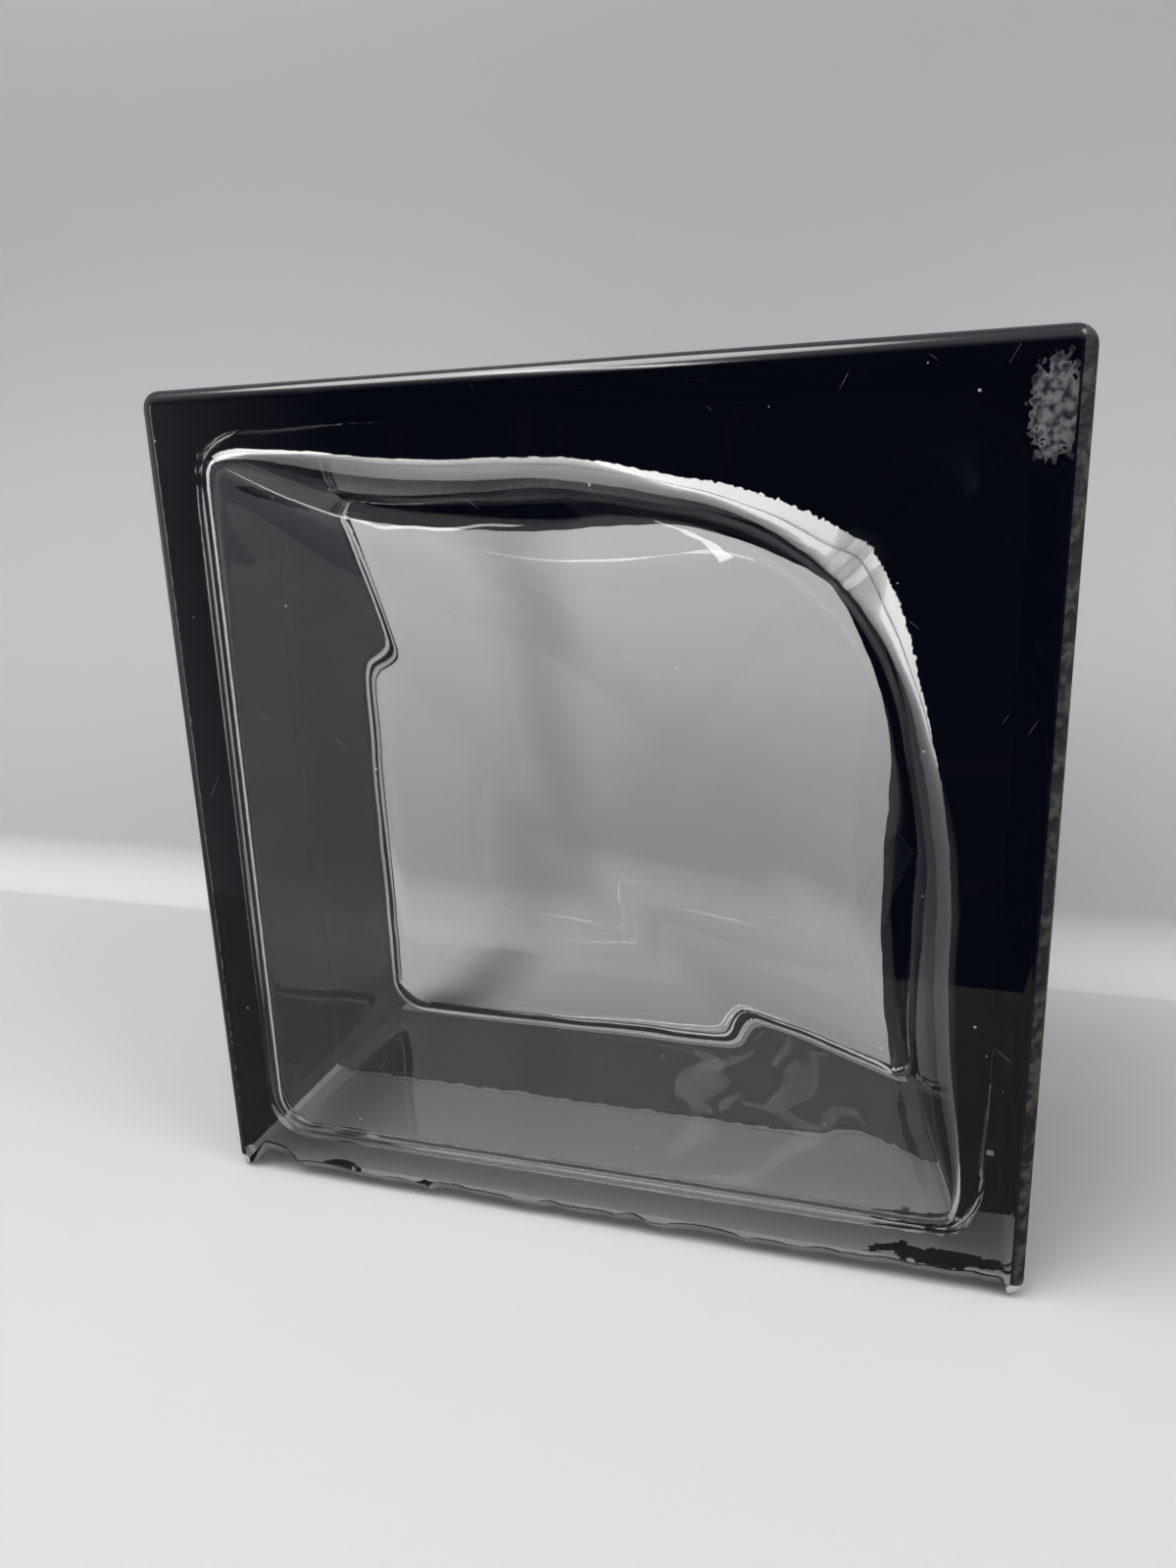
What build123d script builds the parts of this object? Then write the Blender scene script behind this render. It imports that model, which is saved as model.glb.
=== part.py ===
import os
from math import cos, radians, sin, sqrt, tan

from build123d import *

# Whole block, millimetres. X is width, Y is depth with the front at -Y, Z is up.
side = 197.0
depth = 98.0
corner_round = 4.0
face_edge_round = 3.0

# Mortar key round the four sides, between the front and back lips
lip = 10.0
key_depth = 1.5

# Seam where the two pressed halves were fused
seam_width = 3.0
seam_rise = 0.6

# Sealed hollow
face_thickness = 9.0
seam_wall = 8.2
wall_draft = 1.0
hollow_round = 6.0

# Leaf on the inside of each face: a diagonal crease, two straight flanks and a round nose
leaf_half = 116.0
leaf_angle = 37.4
leaf_round = 51.5
leaf_tip = 4.0
crease_back = 5.0
crease_lap = 1.0

# Scoop pressed into the leaf, measured as glass thickness under the face
crease_angle = 11.0
scoop_drop = 4.7
scoop_low = 0.58
scoop_end = 0.84

# Slope from the edge of the leaf back to the seam, steep at its foot and easing off
foot_thickness = 6.0
foot_run = 7.0
foot_angle = 46.0
seam_angle = 41.0
stations = 7

half_depth = depth / 2
hollow_side = side - 2 * seam_wall
middle = Vector(0, 0, side / 2)
front = Vector(0, -half_depth, side / 2)
towards_nose = Vector(1, 0, 1).normalized()
towards_tip = Vector(-1, 0, 1).normalized()
flat_end = middle - towards_nose * (crease_back - crease_lap)
upright = Plane(origin=middle, x_dir=(1, 0, 0), z_dir=(0, -1, 0))

foot_top = foot_thickness + foot_run * tan(radians(foot_angle))
slope_run = (half_depth - foot_top) / (tan(radians(foot_angle)) + tan(radians(seam_angle)))
slope_middle = foot_top + slope_run * tan(radians(foot_angle))


def rim(along, out):
    # Distance from the crease to a line that runs round the leaf, a given way outside its edge
    lean = radians(leaf_angle)
    round_off = leaf_round + out
    if abs(along) < round_off * sin(lean):
        centre = leaf_half * tan(lean) - leaf_round / cos(lean)
        return centre + sqrt(round_off**2 - along**2)
    return (leaf_half - abs(along)) * tan(lean) + out / cos(lean)


# Scoop and slope: sections across the diagonal, each from the crease to the seam
with BuildPart() as scoop:
    reach = side / sqrt(2)
    for step in range(-stations, stations + 1):
        along = reach * step / stations
        crease = min(-crease_back, rim(along, 0) - leaf_tip)
        span = rim(along, foot_run) - crease
        drop = scoop_drop * (span / (rim(0, foot_run) + crease_back)) ** 2
        across = Plane(origin=front + towards_tip * along, x_dir=towards_nose, z_dir=towards_tip)
        with BuildSketch(across):
            with BuildLine():
                slope = Bezier(
                    (rim(along, foot_run), foot_top),
                    (rim(along, foot_run + slope_run), slope_middle),
                    (rim(along, foot_run + 2 * slope_run), half_depth),
                )
                curve = Spline(
                    (crease, face_thickness),
                    (crease + scoop_low * span, face_thickness - drop),
                    (crease + scoop_end * span, face_thickness - 0.8 * drop),
                    slope @ 0,
                    tangents=[(cos(radians(crease_angle)), -sin(radians(crease_angle))), slope % 0],
                )
                Line(slope @ 1, (crease - leaf_tip, half_depth))
                Line((crease - leaf_tip, half_depth), curve @ 0)
            make_face()
    loft()


def drafted(height):
    # Square block that narrows from the seam to the face, rounded except round the seam
    with BuildPart() as block:
        with BuildSketch(upright):
            Rectangle(hollow_side, hollow_side)
        extrude(amount=height, taper=wall_draft)
        fillet(block.edges().filter_by_position(Axis.Y, -height, 0, inclusive=(True, False)), hollow_round)
    return block.part


# One half of the hollow: flat up to the crease, scooped beyond it
with BuildPart() as hollow:
    add(drafted(half_depth - face_thickness))
    split(bisect_by=Plane(origin=flat_end, z_dir=towards_nose), keep=Keep.BOTTOM)
    add(scoop.part & drafted(half_depth))
    mirror(about=Plane.XZ)

# The block itself
with BuildPart() as glass_block:
    with BuildSketch(upright):
        RectangleRounded(side, side, corner_round)
    extrude(amount=half_depth, both=True)
    fillet(glass_block.faces().filter_by(Axis.Y).edges(), face_edge_round)
    with BuildSketch(upright):
        Rectangle(2 * side, 2 * side)
        RectangleRounded(side - 2 * key_depth, side - 2 * key_depth, corner_round, mode=Mode.SUBTRACT)
    extrude(amount=half_depth - lip, both=True, mode=Mode.SUBTRACT)
    with BuildSketch(upright):
        RectangleRounded(
            side - 2 * (key_depth - seam_rise), side - 2 * (key_depth - seam_rise), corner_round
        )
    extrude(amount=seam_width / 2, both=True)
    add(hollow.part, mode=Mode.SUBTRACT)

os.makedirs("parts", exist_ok=True)
glass_block.part.label = "glass_block"
export_step(glass_block.part, "parts/glass_block.step")
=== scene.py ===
from math import cos, pi, radians, sin, tan

import bpy
import numpy as np
from mathutils import Matrix, Vector


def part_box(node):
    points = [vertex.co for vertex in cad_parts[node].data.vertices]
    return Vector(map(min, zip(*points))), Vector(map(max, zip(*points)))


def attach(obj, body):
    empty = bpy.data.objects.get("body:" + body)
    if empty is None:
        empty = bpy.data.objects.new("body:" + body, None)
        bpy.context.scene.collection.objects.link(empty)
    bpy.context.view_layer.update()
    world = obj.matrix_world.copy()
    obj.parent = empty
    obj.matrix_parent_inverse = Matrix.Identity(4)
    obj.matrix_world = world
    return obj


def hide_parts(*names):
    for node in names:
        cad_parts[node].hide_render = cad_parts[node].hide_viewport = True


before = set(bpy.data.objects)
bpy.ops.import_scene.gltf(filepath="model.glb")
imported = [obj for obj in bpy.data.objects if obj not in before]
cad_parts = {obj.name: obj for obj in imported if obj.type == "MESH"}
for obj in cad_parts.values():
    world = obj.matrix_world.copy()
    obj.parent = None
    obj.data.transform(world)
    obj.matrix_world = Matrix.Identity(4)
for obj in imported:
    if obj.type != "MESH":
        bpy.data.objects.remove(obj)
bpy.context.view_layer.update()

# Sizes in millimetres. The block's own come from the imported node.
MM = 0.001
lowest, highest = (np.array(corner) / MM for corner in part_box("glass_block"))
side = highest[0] - lowest[0]
depth = highest[1] - lowest[1]
half_side = side / 2
half_depth = depth / 2

# Outside: rounded edges, front and back lips, mortar key and seam bead
corner_round = 4.0
least_corner = 0.25
edge_round = 3.0
lip = 10.0
key_depth = 1.5
key_flank = 0.5
key_stations = (20.0, 30.0, 40.0)
seam_half = 1.5
seam_rise = 0.6

# Chips along the front edge of the bottom, and a large one at its left end
chip_seed = 7
chip_spacing = 5.0
chip_shift = 3.0
chip_reach = (3.0, 11.0)
chip_size = (0.3, 2.6)
chip_full = 1.5
corner_chip_place = 4.0
corner_chip_reach = 13.0
corner_chip_size = 3.5

# Hollow: drafted walls, a flat half and a leaf-shaped scoop with a slope outside it
face_thickness = 9.0
seam_wall = 8.2
wall_draft = tan(radians(1.0))
hollow_round = 6.0
hollow_corner = 10.0
cove_full = 15.0
cove_end = 25.0
leaf_half = 116.0
leaf_angle = radians(37.4)
leaf_round = 51.5
leaf_margin = 9.0
scoop_slope = 0.19
scoop_rise_nose = 0.17
scoop_rise_tip = 0.56
crease_back = 5.0
crease_blend = 4.0
foot_thickness = 7.0
foot_slope = tan(radians(46.0))
slope_easing = 0.0023
rim_blend = 3.2

# Mesh density
rays = 360
rings = 90
edge_points = 110
corner_points = 8
round_points = 7
sharp_angle = radians(35)

# How the points of the hollow are spread along rays from one point over the flat half
ray_pole = -30.0
halvings = 50
fine_steps = 2000
wall_packing = 2.2
bend_weight = 22.0
bend_window = 15
ray_window = 9
ray_spread = 3.5

glass_ior = 1.52

# Black coat on the sides: where it starts, measured from the front, and its lap on the back
coat_start_low = lip + 0.5
coat_start_high = lip + 3.5
coat_start_left = lip - 2
coat_start_top = side - 10
left_strip = 3.0
coat_wobble = 0.5
coat_back_lap = 17.0
lap_wobble = 1.5
bottom_wobble = 1.5
crumb_strip = 2.5

# Scraps of coat on the bottom: middle and reach, across and from the front
coat_scraps = (((82.0, 15.0), (19.0, 6.0)), ((-71.0, 11.0), (7.0, 3.5)), ((-47.0, 9.5), (6.0, 1.0)))

# Colours, as red, green, blue and alpha
clear_glass = (0.985, 0.995, 0.985, 1)
hollow_green = (0.98, 0.995, 0.98, 1)
hollow_clear = (0.99, 0.995, 0.99, 1)
dust_grey = (0.55, 0.55, 0.54, 1)
lip_pale = (0.82, 0.86, 0.83, 1)
bottom_green = (0.88, 0.92, 0.85, 1)
coat_black = (0.0015, 0.002, 0.0045, 1)
coat_brown = (0.010, 0.007, 0.005, 1)
lap_black = (0.002, 0.002, 0.004, 1)
crumb_brown = (0.05, 0.043, 0.036, 1)

# Stage: heights between which the boards' colour darkens as painted shade, and between which their painted
# glow, seen through glass, grows
painted_shade_from, painted_shade_to = 100, 330
glow_from, glow_to = 20, 160

# Painted shadow: a soft upright darker band in the boards' painted glow behind the block, shown only through
# the glass
painted_shadow_place = -78.0
painted_shadow_reach = 24.0
painted_shadow_share = 0.2

# Camera as solved from the corners of the front face and scaled to the outline, for a 1200 by 1600 image
image_height = 1600
focal_pixels = 1109.0
camera_place = (73.7, -263.7, 171.2)
camera_forward = (-0.2978, 0.9194, -0.2570)
camera_up = (-0.0453, 0.2553, 0.9658)


# Shape of the hollow

def square_through(x, z, radius):
    # Half side of the square with rounded corners that passes through a point
    a, b = np.abs(x), np.abs(z)
    corner = (a + b - np.sqrt(np.maximum(2 * radius**2 - (a - b) ** 2, 0))) / 2 + radius
    return np.where(np.abs(a - b) < radius, corner, np.maximum(a, b))


def nose_centre():
    # Distance from the crease's line to the centre of the leaf's round nose
    return leaf_half * tan(leaf_angle) - leaf_round / cos(leaf_angle)


def outside_leaf(along, across):
    # Signed distance outside the leaf: two straight flanks and a round nose
    along = np.abs(along)
    beyond = across - nose_centre()
    flank = (across - (leaf_half - along) * tan(leaf_angle)) * cos(leaf_angle)
    nose = np.hypot(along, beyond) - leaf_round
    return np.where(along * cos(leaf_angle) < beyond * sin(leaf_angle), nose, flank)


def scoop_width(along):
    # Distance from the crease to the rim that the scoop is shaped by, a margin outside the leaf
    along = np.abs(along)
    reach = leaf_half + leaf_margin / sin(leaf_angle)
    radius = leaf_round + leaf_margin
    nose = nose_centre() + np.sqrt(np.maximum(radius**2 - along**2, 0))
    flank = (reach - along) * tan(leaf_angle)
    return np.maximum(np.where(along < radius * sin(leaf_angle), nose, flank), 0.001)


def smooth_max(a, b, blend):
    # The greater of two values, rounded over where they are close
    share = np.clip(0.5 + 0.5 * (a - b) / blend, 0, 1)
    return b + (a - b) * share + blend * share * (1 - share)


def glass_under_face(x, z):
    # Thickness of the glass from the face to the hollow, walls left out
    along, across = (x - z) / np.sqrt(2), (x + z) / np.sqrt(2)
    width = scoop_width(along) + crease_back
    share = np.clip(smooth_max(across + crease_back, 0, crease_blend) / width, 0, 3)
    rise = scoop_rise_nose + scoop_rise_tip * (along / leaf_half) ** 2
    scoop = width * (rise * share - scoop_slope) * share
    out = outside_leaf(along, across)
    slope = foot_thickness + out * foot_slope - slope_easing * np.clip(out, 0, None) ** 2
    return smooth_max(face_thickness + scoop, slope, rim_blend)


def hollow_depth(x, z):
    # Depth from the face to the hollow, rounded up into the drafted walls where it is shallow
    floor = glass_under_face(x, z)
    inside = half_side - seam_wall - square_through(x, z, hollow_corner)
    wall = half_depth - inside / wall_draft
    gap = inside - (half_depth - floor) * wall_draft
    radius = hollow_round * np.clip((cove_end - floor) / (cove_end - cove_full), 0, 1)
    turn = radius - np.clip(gap, 0, radius)
    cove = floor + radius - np.sqrt(np.maximum(radius**2 - turn**2, 0))
    return np.maximum(np.where((gap > 0) & (gap < radius), cove, floor), wall)


def hollow_half():
    # Rays out to the seam, with points packed where the depth turns
    turn = np.linspace(0, 2 * pi, rays, endpoint=False)[:, None]

    def on_rays(radius):
        return ray_pole + radius * np.cos(turn), ray_pole + radius * np.sin(turn)

    near, far = np.zeros_like(turn), np.full_like(turn, 2 * side)
    for _ in range(halvings):
        reach = (near + far) / 2
        open_there = hollow_depth(*on_rays(reach)) < half_depth
        near, far = np.where(open_there, reach, near), np.where(open_there, far, reach)
    share = 1 - (1 - np.linspace(0, 1, fine_steps)[None]) ** wall_packing
    fine = np.minimum(hollow_depth(*on_rays(near * share)), half_depth)
    step, drop = np.diff(near * share, axis=1), np.diff(fine, axis=1)
    bend = np.abs(np.diff(np.arctan2(drop, step), axis=1, prepend=0))
    bend[:, 0] = 0
    spread = np.ones(bend_window) / bend_window
    bend = np.apply_along_axis(lambda row: np.convolve(row, spread, "same"), 1, bend)
    length = np.cumsum(np.hypot(step, drop) + bend_weight * bend, axis=1)
    length = np.concatenate([np.zeros((rays, 1)), length], axis=1)
    wanted = np.linspace(0, 1, rings + 1)
    kept = np.stack([np.interp(wanted, row / row[-1], share[0]) for row in length])
    weights = np.exp(-0.5 * (np.arange(-ray_window, ray_window + 1) / ray_spread) ** 2)
    weights /= weights.sum()
    kept = sum(weight * np.roll(kept, k - ray_window, axis=0) for k, weight in enumerate(weights))
    x, z = on_rays(near * kept)
    y = np.stack([np.interp(kept[i], share[0], fine[i]) for i in range(rays)])
    y[:, -1] = half_depth
    return np.stack([x, y - half_depth, z], axis=-1)


def hollow_skin():
    # Both halves share the seam ring, and each closes in one middle point
    half = hollow_half()
    front = half[:, 1:].reshape(-1, 3)
    back = (half[:, 1:-1] * (1, -1, 1)).reshape(-1, 3)
    points = np.concatenate([front, back, half[:1, 0], half[:1, 0] * (1, -1, 1)])
    ray, ring = np.meshgrid(np.arange(rays), np.arange(rings), indexing="ij")
    front_index = ray * rings + ring
    back_index = np.where(ring < rings - 1, len(front) + ray * (rings - 1) + ring, front_index)
    faces = []
    for index, middle, flip in ((front_index, len(points) - 2, -1), (back_index, len(points) - 1, 1)):
        onward = np.roll(index, -1, axis=0)
        quads = np.stack([index[:, :-1], index[:, 1:], onward[:, 1:], onward[:, :-1]], axis=-1)
        faces += [tuple(quad[::flip]) for quad in quads.reshape(-1, 4).tolist()]
        faces += [(middle, a, b)[::flip] for a, b in zip(index[:, 0].tolist(), onward[:, 0].tolist())]
    return points, faces


# Shape of the outside

def chip_depth(x, z):
    # Extra size of the broken front edge along the bottom, in overlapping shells
    def shell(middle, reach):
        return np.sqrt(np.clip(1 - ((x - middle) / reach) ** 2, 0, 1))

    dice = np.random.default_rng(chip_seed)
    bite = np.zeros_like(x)
    for centre in np.arange(-half_side, half_side, chip_spacing):
        middle = centre + dice.uniform(-chip_shift, chip_shift)
        reach, size = dice.uniform(*chip_reach), dice.uniform(*chip_size)
        bite = np.maximum(bite, size * shell(middle, reach))
    bite += corner_chip_size * shell(corner_chip_place - half_side, corner_chip_reach)
    return np.where(z < -half_side + 0.01, bite, 0)


def square_loop():
    # Corner centres' signs, corner normals and straight shares of one loop round the block
    signs, angles, shares = [], [], []
    corners = [(1, 1), (-1, 1), (-1, -1), (1, -1)]
    for k, corner in enumerate(corners):
        onward = corners[(k + 1) % 4]
        for i in range(corner_points + 1):
            signs.append((corner, corner))
            angles.append(pi / 2 * (k + i / corner_points))
            shares.append(0.0)
        for i in range(1, edge_points):
            signs.append((corner, onward))
            angles.append(pi / 2 * (k + 1))
            shares.append(i / edge_points)
    signs, angles, shares = np.array(signs, float), np.array(angles), np.array(shares)[:, None]
    return signs, np.stack([np.cos(angles), np.sin(angles)], axis=-1), shares


def loop_points(inset):
    # One loop, set in from the block's sides by an amount for each point
    signs, normals, shares = square_loop()
    inset = np.broadcast_to(inset, len(normals))[:, None]
    radius = np.maximum(corner_round - inset, least_corner)
    centre = half_side - inset - radius
    return signs[:, 0] * centre * (1 - shares) + signs[:, 1] * centre * shares + normals * radius


def outer_loops(chip):
    # Place in depth and inset of each loop, from the front edge over lip, key and seam to the back edge
    turns = [pi / 2 * i / round_points for i in range(round_points + 1)]
    size = edge_round + chip
    broken = np.clip(chip / chip_full, 0, 1)
    loops = []
    for turn in turns:
        back = (1 - broken) * (1 - cos(turn)) + broken * sin(turn)
        inset = (1 - broken) * (1 - sin(turn)) + broken * cos(turn)
        loops.append((-half_depth + size * back, size * inset))
    half = [(lip, 0.0), (lip + key_flank, key_depth)]
    half += [(place, key_depth) for place in key_stations]
    half += [(half_depth - seam_half - seam_rise, key_depth), (half_depth - seam_half, key_depth - seam_rise)]
    loops += [(place - half_depth, inset) for place, inset in half]
    loops += [(half_depth - place, inset) for place, inset in half[::-1]]
    loops += [(half_depth - edge_round * (1 - sin(turn)), edge_round * (1 - cos(turn))) for turn in turns]
    return loops


def outer_skin():
    # The loops joined into sides, with a flat face at each end
    plain = loop_points(0.0)
    loops = outer_loops(chip_depth(plain[:, 0], plain[:, 1]))
    points = [np.insert(loop_points(inset), 1, place, axis=1) for place, inset in loops]
    index = np.arange(len(loops) * len(plain)).reshape(len(loops), len(plain))
    onward = np.roll(index, -1, axis=1)
    quads = np.stack([index[:-1], index[1:], onward[1:], onward[:-1]], axis=-1).reshape(-1, 4)
    caps = [tuple(index[0].tolist()), tuple(index[-1, ::-1].tolist())]
    return np.concatenate(points), [tuple(quad) for quad in quads.tolist()], caps


def build_block():
    # One mesh: the outside and the skin of the sealed hollow
    outside, sides, caps = outer_skin()
    inside, hollow = hollow_skin()
    on_bottom = [max(outside[i][2] for i in face) < corner_round - half_side for face in sides]
    hollow = [tuple(i + len(outside) for i in face) for face in hollow]
    points = np.concatenate([outside, inside]) + (0, 0, half_side)
    mesh = bpy.data.meshes.new("glass_block_visual")
    mesh.from_pydata((points * MM).tolist(), [], sides + caps + hollow)
    for material in (hollow_glass(), front_glass(), back_glass(), coated_edge(), bottom_edge()):
        mesh.materials.append(material)
    slots = [4 if low else 3 for low in on_bottom] + [1, 2] + [0] * len(hollow)
    smooth = [True] * len(sides) + [False] * len(caps) + [True] * len(hollow)
    mesh.polygons.foreach_set("material_index", slots)
    mesh.polygons.foreach_set("use_smooth", smooth)
    mesh.set_sharp_from_angle(angle=sharp_angle)
    mesh.update()
    block = bpy.data.objects.new("glass_block_visual", mesh)
    bpy.context.scene.collection.objects.link(block)
    return block


# Node helpers

def new_material(name):
    material = bpy.data.materials.new(name)
    material.use_nodes = True
    return material.node_tree, material


def node(tree, kind, settings=None, **inputs):
    # A new node with its settings and inputs; an underscore stands for a space in an input's name
    made = tree.nodes.new("ShaderNode" + kind)
    for name, value in (settings or {}).items():
        setattr(made, name, value)
    for name, value in inputs.items():
        put(tree, made.inputs[name.replace("_", " ")], value)
    return made


def put(tree, socket, value):
    # Links another node's output to a socket, or sets the socket's own value
    if isinstance(value, bpy.types.NodeSocket):
        tree.links.new(value, socket)
    else:
        socket.default_value = value


def maths(tree, operation, *values):
    made = node(tree, "Math", {"operation": operation})
    for socket, value in zip(made.inputs, values):
        put(tree, socket, value)
    return made.outputs[0]


def ramp(tree, value, start, end, low=0.0, high=1.0):
    # Smooth change from low to high while a value goes from start to end
    made = node(
        tree, "MapRange", {"interpolation_type": "SMOOTHSTEP"}, Value=value, From_Min=start, From_Max=end,
        To_Min=low, To_Max=high,
    )
    return made.outputs[0]


def mix_colour(tree, share, a, b):
    made = node(tree, "Mix", {"data_type": "RGBA"}, Factor=share)
    put(tree, made.inputs[6], a)
    put(tree, made.inputs[7], b)
    return made.outputs[2]


def mix_value(tree, share, a, b):
    made = node(tree, "Mix", {"data_type": "FLOAT"}, Factor=share)
    put(tree, made.inputs[2], a)
    put(tree, made.inputs[3], b)
    return made.outputs[0]


def place_in_mm(tree):
    # Object coordinates in millimetres: x from the middle, y from the front, z from the floor
    scaled = node(
        tree, "VectorMath", {"operation": "MULTIPLY_ADD"}, Vector=node(tree, "TexCoord").outputs["Object"]
    )
    scaled.inputs[1].default_value = (1 / MM, 1 / MM, 1 / MM)
    scaled.inputs[2].default_value = (0, half_depth, 0)
    split = node(tree, "SeparateXYZ", Vector=scaled.outputs[0])
    return scaled.outputs[0], split.outputs["X"], split.outputs["Y"], split.outputs["Z"]


def noise(tree, place, size, detail, stretch=(1, 1, 1)):
    # Cloudy pattern with lumps of about one size, in millimetres
    moved = node(tree, "Mapping", Vector=place, Scale=tuple(s / size for s in stretch))
    return node(tree, "TexNoise", Vector=moved.outputs[0], Scale=1.0, Detail=detail).outputs["Fac"]


# Materials

def glass(name):
    tree, material = new_material(name)
    shader = tree.nodes["Principled BSDF"].inputs
    shader["IOR"].default_value = glass_ior
    return tree, material, shader


def specks(tree, place, size, share):
    # Round spots of dust, one in a share of the cells
    radius = 0.05
    cells = node(tree, "TexVoronoi", Vector=place, Scale=1 / size)
    near = maths(tree, "LESS_THAN", cells.outputs["Distance"], radius)
    chosen = node(tree, "SeparateColor", Color=cells.outputs["Color"]).outputs[0]
    return maths(tree, "MULTIPLY", near, maths(tree, "LESS_THAN", chosen, share))


def scratches(tree, place, turn, length, width):
    # Thin strokes at one slant over the face, where the noise is at its highest
    level = 0.80
    turned = node(tree, "Mapping", Vector=place, Rotation=(0, turn, 0)).outputs[0]
    stretch = (1 / width, 1 / length, 1 / length)
    stroke = noise(tree, turned, size=1.0, detail=1.0, stretch=stretch)
    return maths(tree, "GREATER_THAN", stroke, level)


def patch(tree, ragged, across, up, middle, reach):
    # Ragged spot round a middle, measured along two coordinates
    limit = 1.6
    a = maths(tree, "DIVIDE", maths(tree, "SUBTRACT", across, middle[0]), reach[0])
    b = maths(tree, "DIVIDE", maths(tree, "SUBTRACT", up, middle[1]), reach[1])
    squares = maths(tree, "ADD", maths(tree, "MULTIPLY", a, a), maths(tree, "MULTIPLY", b, b))
    far = maths(tree, "SQRT", squares)
    return maths(tree, "LESS_THAN", maths(tree, "MULTIPLY_ADD", ragged, limit, far), limit)


def hollow_glass():
    # Skin of the hollow: clear, with the faint waves of pressed glass
    tree, material, shader = glass("pressed_glass")
    place = place_in_mm(tree)[0]
    shader["Transmission Weight"].default_value = 1.0
    shader["Roughness"].default_value = 0.0
    shader["Specular IOR Level"].default_value = 0.3
    waves = noise(tree, place, size=24.0, detail=1.0)
    put(tree, shader["Base Color"], mix_colour(tree, waves, hollow_green, hollow_clear))
    bump = node(tree, "Bump", Height=waves, Strength=0.6, Distance=0.4 * MM)
    put(tree, shader["Normal"], bump.outputs[0])
    return material


def front_glass():
    # Front face: clear, with dust, scratches and a worn grey spot by the right edge
    dirt_share, mark_roughness = 0.35, 0.4
    tree, material, shader = glass("front_face")
    place, x, _, z = place_in_mm(tree)
    large = specks(tree, place, size=6.0, share=0.3)
    small = specks(tree, place, size=3.5, share=0.12)
    steep = scratches(tree, place, turn=0.9, length=14.0, width=0.25)
    level = scratches(tree, place, turn=-0.5, length=20.0, width=0.2)
    dirt = maths(tree, "MAXIMUM", maths(tree, "MAXIMUM", large, small), maths(tree, "MAXIMUM", steep, level))
    grain = noise(tree, place, size=1.6, detail=2.0)
    worn = patch(tree, grain, x, z, middle=(92.0, 183.0), reach=(5.5, 11.0))
    worn = maths(tree, "MULTIPLY", worn, ramp(tree, grain, 0.35, 0.65, 0.02, 0.16))
    marks = maths(tree, "MAXIMUM", maths(tree, "MULTIPLY", dirt, dirt_share), worn)
    put(tree, shader["Base Color"], mix_colour(tree, marks, clear_glass, dust_grey))
    put(tree, shader["Transmission Weight"], maths(tree, "SUBTRACT", 1.0, marks))
    put(tree, shader["Roughness"], maths(tree, "MULTIPLY", marks, mark_roughness))
    return material


def back_glass():
    # Back face: clear, with the coat lapped over its top and right edges
    tree, material, shader = glass("back_face")
    place, x, _, z = place_in_mm(tree)
    ragged = noise(tree, place, size=6.0, detail=2.0)
    lap = maths(tree, "MULTIPLY_ADD", ragged, 2 * lap_wobble, half_side - coat_back_lap - lap_wobble)
    beyond = maths(tree, "MAXIMUM", x, maths(tree, "SUBTRACT", z, half_side))
    coated = maths(tree, "GREATER_THAN", beyond, lap)
    put(tree, shader["Base Color"], mix_colour(tree, coated, clear_glass, lap_black))
    put(tree, shader["Transmission Weight"], maths(tree, "SUBTRACT", 1.0, coated))
    put(tree, shader["Specular IOR Level"], mix_value(tree, coated, 0.5, 0.0))
    shader["Roughness"].default_value = 0.0
    return material


def coat_colour(tree, place):
    # Bluish black with brownish brush strokes
    streak = noise(tree, place, size=9.0, detail=1.0, stretch=(1, 0.15, 1))
    return mix_colour(tree, ramp(tree, streak, 0.55, 0.75), coat_black, coat_brown)


def coated_edge():
    # Top, left and right: matt lip, black coat with a ragged start, glossy black front rounding
    tree, material, shader = glass("coated_edge")
    place, x, y, z = place_in_mm(tree)
    ragged = noise(tree, place, size=2.0, detail=2.0)
    ragged = maths(tree, "MULTIPLY_ADD", ragged, 4 * coat_wobble, -2 * coat_wobble)
    start = ramp(tree, z, half_side, coat_start_top, coat_start_low, coat_start_high)
    start = mix_value(tree, maths(tree, "LESS_THAN", x, left_strip - half_side), start, coat_start_left)
    behind = maths(tree, "GREATER_THAN", maths(tree, "ADD", y, ragged), start)
    in_front = maths(tree, "LESS_THAN", y, maths(tree, "ADD", ragged, edge_round))
    coated = maths(tree, "MAXIMUM", behind, in_front)
    crumbs = noise(tree, place, size=3.0, detail=2.0)
    crumbly = maths(tree, "MULTIPLY", in_front, maths(tree, "GREATER_THAN", x, half_side - crumb_strip))
    dirt = maths(tree, "MULTIPLY", crumbly, ramp(tree, crumbs, 0.45, 0.65))
    black = mix_colour(tree, dirt, coat_colour(tree, place), crumb_brown)
    put(tree, shader["Base Color"], mix_colour(tree, coated, lip_pale, black))
    put(tree, shader["Transmission Weight"], mix_value(tree, coated, 0.8, 0.0))
    front_rough = mix_value(tree, crumbly, 0.15, 0.7)
    put(tree, shader["Roughness"], mix_value(tree, in_front, 0.6, front_rough))
    put(tree, shader["Specular IOR Level"], mix_value(tree, behind, 0.5, 0.0))
    bump = node(tree, "Bump", Height=crumbs, Strength=crumbly, Distance=0.8 * MM)
    put(tree, shader["Normal"], bump.outputs[0])
    return material


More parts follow.
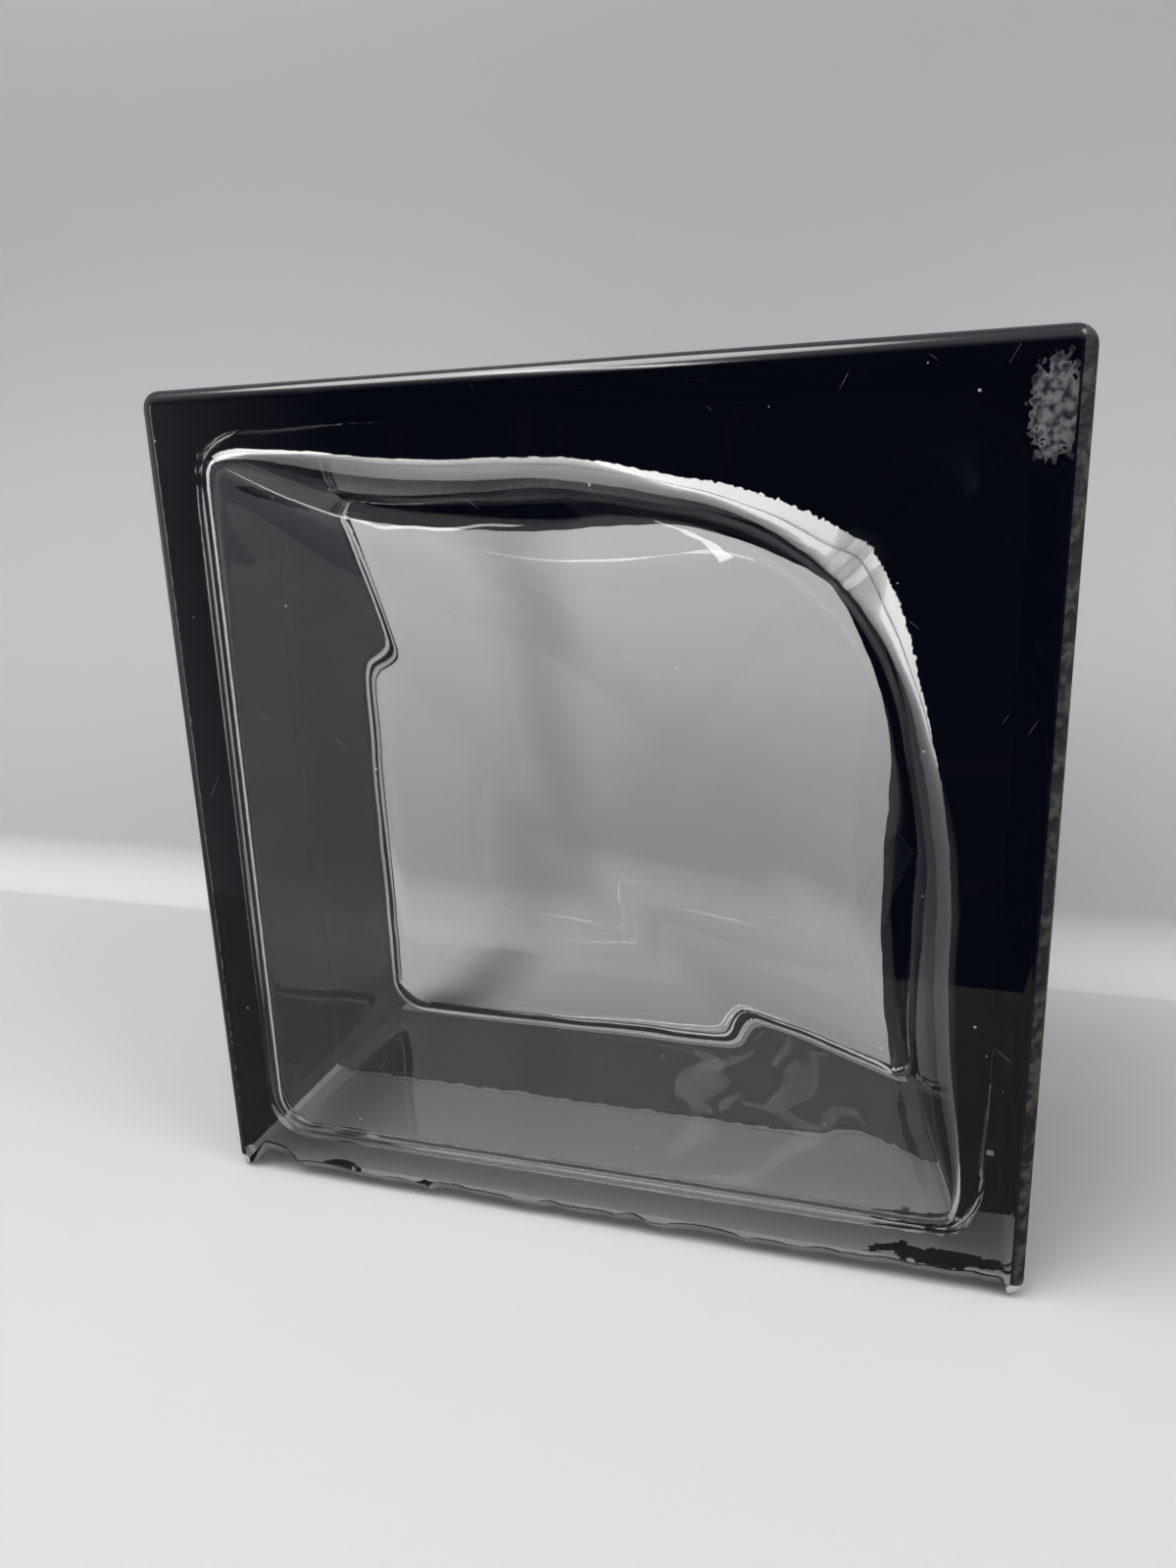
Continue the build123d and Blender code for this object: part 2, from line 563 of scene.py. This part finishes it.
def bottom_edge():
    # Bottom: dull greenish glass in front with scraps of coat, coated on the back half
    tree, material, shader = glass("bottom_edge")
    place, x, y, _ = place_in_mm(tree)
    ragged = noise(tree, place, size=4.0, detail=3.0)
    ragged_place = maths(tree, "MULTIPLY_ADD", ragged, 2 * bottom_wobble, y)
    coated = maths(tree, "GREATER_THAN", ragged_place, half_depth + bottom_wobble)
    for middle, reach in coat_scraps:
        coated = maths(tree, "MAXIMUM", coated, patch(tree, ragged, x, y, middle, reach))
    put(tree, shader["Base Color"], mix_colour(tree, coated, bottom_green, coat_colour(tree, place)))
    put(tree, shader["Transmission Weight"], mix_value(tree, coated, 0.4, 0.0))
    put(tree, shader["Specular IOR Level"], mix_value(tree, coated, 0.5, 0.0))
    shader["Roughness"].default_value = 0.5
    return material


def paper(name, colour, low, top, mirrored, through, glow_low, glow_high):
    # Matt pale board with painted light and shade: its colour is darker high up as painted shade, it has its
    # own colour shares for mirrored views and views through glass, which paint light and shade into what the
    # glass mirrors and shows, and it has a painted glow seen only through glass
    tree, material = new_material(name)
    shader = tree.nodes["Principled BSDF"].inputs
    _, x, _, z = place_in_mm(tree)
    path = node(tree, "LightPath").outputs
    # Painted shade: the colour darkens high up
    share = ramp(tree, z, painted_shade_from, painted_shade_to, low, low * top)
    # Painted light and shade: other colour shares when seen through glass and when mirrored
    share = mix_value(tree, path["Is Transmission Ray"], share, through)
    share = mix_value(tree, path["Is Glossy Ray"], share, mirrored)
    put(tree, shader["Base Color"], mix_colour(tree, share, (0, 0, 0, 1), colour))
    # Painted light: the board glows only when seen through glass, more higher up, with a painted shadow band
    glow = ramp(tree, z, glow_from, glow_to, glow_low, glow_high)
    off_painted_shadow = maths(tree, "ABSOLUTE", maths(tree, "SUBTRACT", x, painted_shadow_place))
    glow = maths(tree, "MULTIPLY", glow, ramp(tree, off_painted_shadow, 0, painted_shadow_reach, painted_shadow_share, 1.0))
    put(tree, shader["Emission Strength"], maths(tree, "MULTIPLY", path["Is Transmission Ray"], glow))
    shader["Roughness"].default_value = 0.9
    shader["Specular IOR Level"].default_value = 0.1
    return tree, material


def floor_paper():
    # Painted light and shade: darker when mirrored, its own share and a painted glow when seen through glass
    return paper(
        "floor", (0.60, 0.605, 0.61, 1), low=0.78, top=1.0, mirrored=0.3, through=0.5,
        glow_low=0.20, glow_high=0.20,
    )[1]


def backdrop_paper():
    # The same kind of board with the same painted light and shade, clear when seen from behind
    tree, material = paper(
        "backdrop", (0.97, 0.96, 0.97, 1), low=0.56, top=0.58, mirrored=0.31, through=1.0,
        glow_low=0.08, glow_high=0.19,
    )
    see_through = node(tree, "MixShader")
    put(tree, see_through.inputs[0], node(tree, "NewGeometry").outputs["Backfacing"])
    put(tree, see_through.inputs[1], tree.nodes["Principled BSDF"].outputs[0])
    put(tree, see_through.inputs[2], node(tree, "BsdfTransparent").outputs[0])
    put(tree, tree.nodes["Material Output"].inputs["Surface"], see_through.outputs[0])
    return material


# Stage

def sheet(name, profile, wide, material):
    # A board as wide as the stage that follows a profile of depths and heights
    points = [(x, y, z) for y, z in profile for x in (-wide, wide)]
    faces = [(2 * k, 2 * k + 1, 2 * k + 3, 2 * k + 2) for k in range(len(profile) - 1)]
    mesh = bpy.data.meshes.new(name)
    mesh.from_pydata([tuple(v * MM for v in point) for point in points], [], faces)
    mesh.materials.append(material)
    mesh.shade_smooth()
    made = bpy.data.objects.new(name, mesh)
    bpy.context.scene.collection.objects.link(made)
    return made


def build_stage():
    # Pale floor, and a backdrop on a soft bend just over it
    front_edge, back, far = -215, 112, 2500
    wide, tall = 1500, 1500
    bend, bend_steps, lift = 22, 16, 0.5
    floor = floor_paper()
    sheet("floor", [(front_edge, 0), (back, 0)], wide, floor)
    sheet("floor_front", [(-far, 0), (front_edge, 0)], wide, floor).visible_glossy = False
    sheet("floor_back", [(back, 0), (far, 0)], wide, floor)
    turns = [pi / 2 * k / bend_steps for k in range(bend_steps + 1)]
    curve = [(back + bend * sin(turn), lift + bend * (1 - cos(turn))) for turn in turns]
    sheet("backdrop", curve + [(back + bend, tall)], wide, backdrop_paper())


def build_world():
    # Soft light from above, the sides and behind, with a dim bluish room in front
    room_dim = (0.035, 0.05, 0.12, 1)
    room_light = (0.85, 0.85, 0.85, 1)
    seen_grey = (0.42, 0.42, 0.42, 1)
    world = bpy.data.worlds.new("studio")
    bpy.context.scene.world = world
    world.use_nodes = True
    tree = world.node_tree
    split = node(tree, "SeparateXYZ", Vector=node(tree, "TexCoord").outputs["Generated"])
    lit = ramp(tree, split.outputs["Y"], -0.85, -0.5)
    lit = maths(tree, "MAXIMUM", lit, ramp(tree, split.outputs["Z"], 0.3, 0.65))
    light = mix_colour(tree, lit, room_dim, room_light)
    shown = mix_colour(tree, node(tree, "LightPath").outputs["Is Camera Ray"], light, seen_grey)
    put(tree, tree.nodes["Background"].inputs["Color"], shown)


def build_lamp(name, place, target, shape, size, power):
    # A flat lamp that faces a point
    lamp = bpy.data.lights.new(name, "AREA")
    lamp.shape, lamp.size, lamp.size_y, lamp.energy = shape, size[0] * MM, size[1] * MM, power
    made = bpy.data.objects.new(name, lamp)
    made.location = Vector(place) * MM
    made.rotation_euler = (Vector(target) - Vector(place)).to_track_quat("-Z", "Y").to_euler()
    bpy.context.scene.collection.objects.link(made)
    return made


def build_tube(name, start, end, target, width, power):
    # A long thin lamp between two points, turned to face a third
    start, end, target = Vector(start), Vector(end), Vector(target)
    middle = (start + end) / 2
    long_way = (end - start).normalized()
    away = (middle - target).normalized()
    away = (away - long_way * away.dot(long_way)).normalized()
    turn = Matrix((long_way, away.cross(long_way), away)).transposed()
    made = build_lamp(name, middle, target, "RECTANGLE", ((end - start).length, width), power)
    made.matrix_world = Matrix.Translation(middle * MM) @ turn.to_4x4()
    return made


def build_lamps():
    key = build_lamp("key", (-250, -300, 900), (0, 60, 60), "DISK", size=(600, 600), power=8.0)
    key.visible_transmission = False
    fill = build_lamp("fill", (600, -250, 800), (0, 120, 60), "DISK", size=(500, 500), power=3.4)
    fill.visible_transmission = False
    tube = build_tube("tube", (-700, -600, 1750), (-100, -600, 410), (0, -49, 165), width=25, power=4.0)
    tube.visible_diffuse = False


def build_camera():
    camera = bpy.data.cameras.new("camera")
    camera.sensor_width = 36.0
    camera.lens = focal_pixels * camera.sensor_width / image_height
    camera.clip_start = 0.01
    made = bpy.data.objects.new("camera", camera)
    bpy.context.scene.collection.objects.link(made)
    forward = Vector(camera_forward).normalized()
    right = forward.cross(Vector(camera_up)).normalized()
    turn = Matrix((right, right.cross(forward), -forward)).transposed()
    made.matrix_world = Matrix.Translation(Vector(camera_place) * MM) @ turn.to_4x4()
    bpy.context.scene.camera = made


block = build_block()
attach(block, "root")
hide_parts("glass_block")

build_stage()
build_world()
build_lamps()
build_camera()

scene = bpy.context.scene
scene.view_settings.view_transform = "Standard"
scene.cycles.max_bounces = 10
scene.cycles.transmission_bounces = 10
scene.cycles.diffuse_bounces = 1
scene.cycles.glossy_bounces = 4
scene.cycles.use_light_tree = False
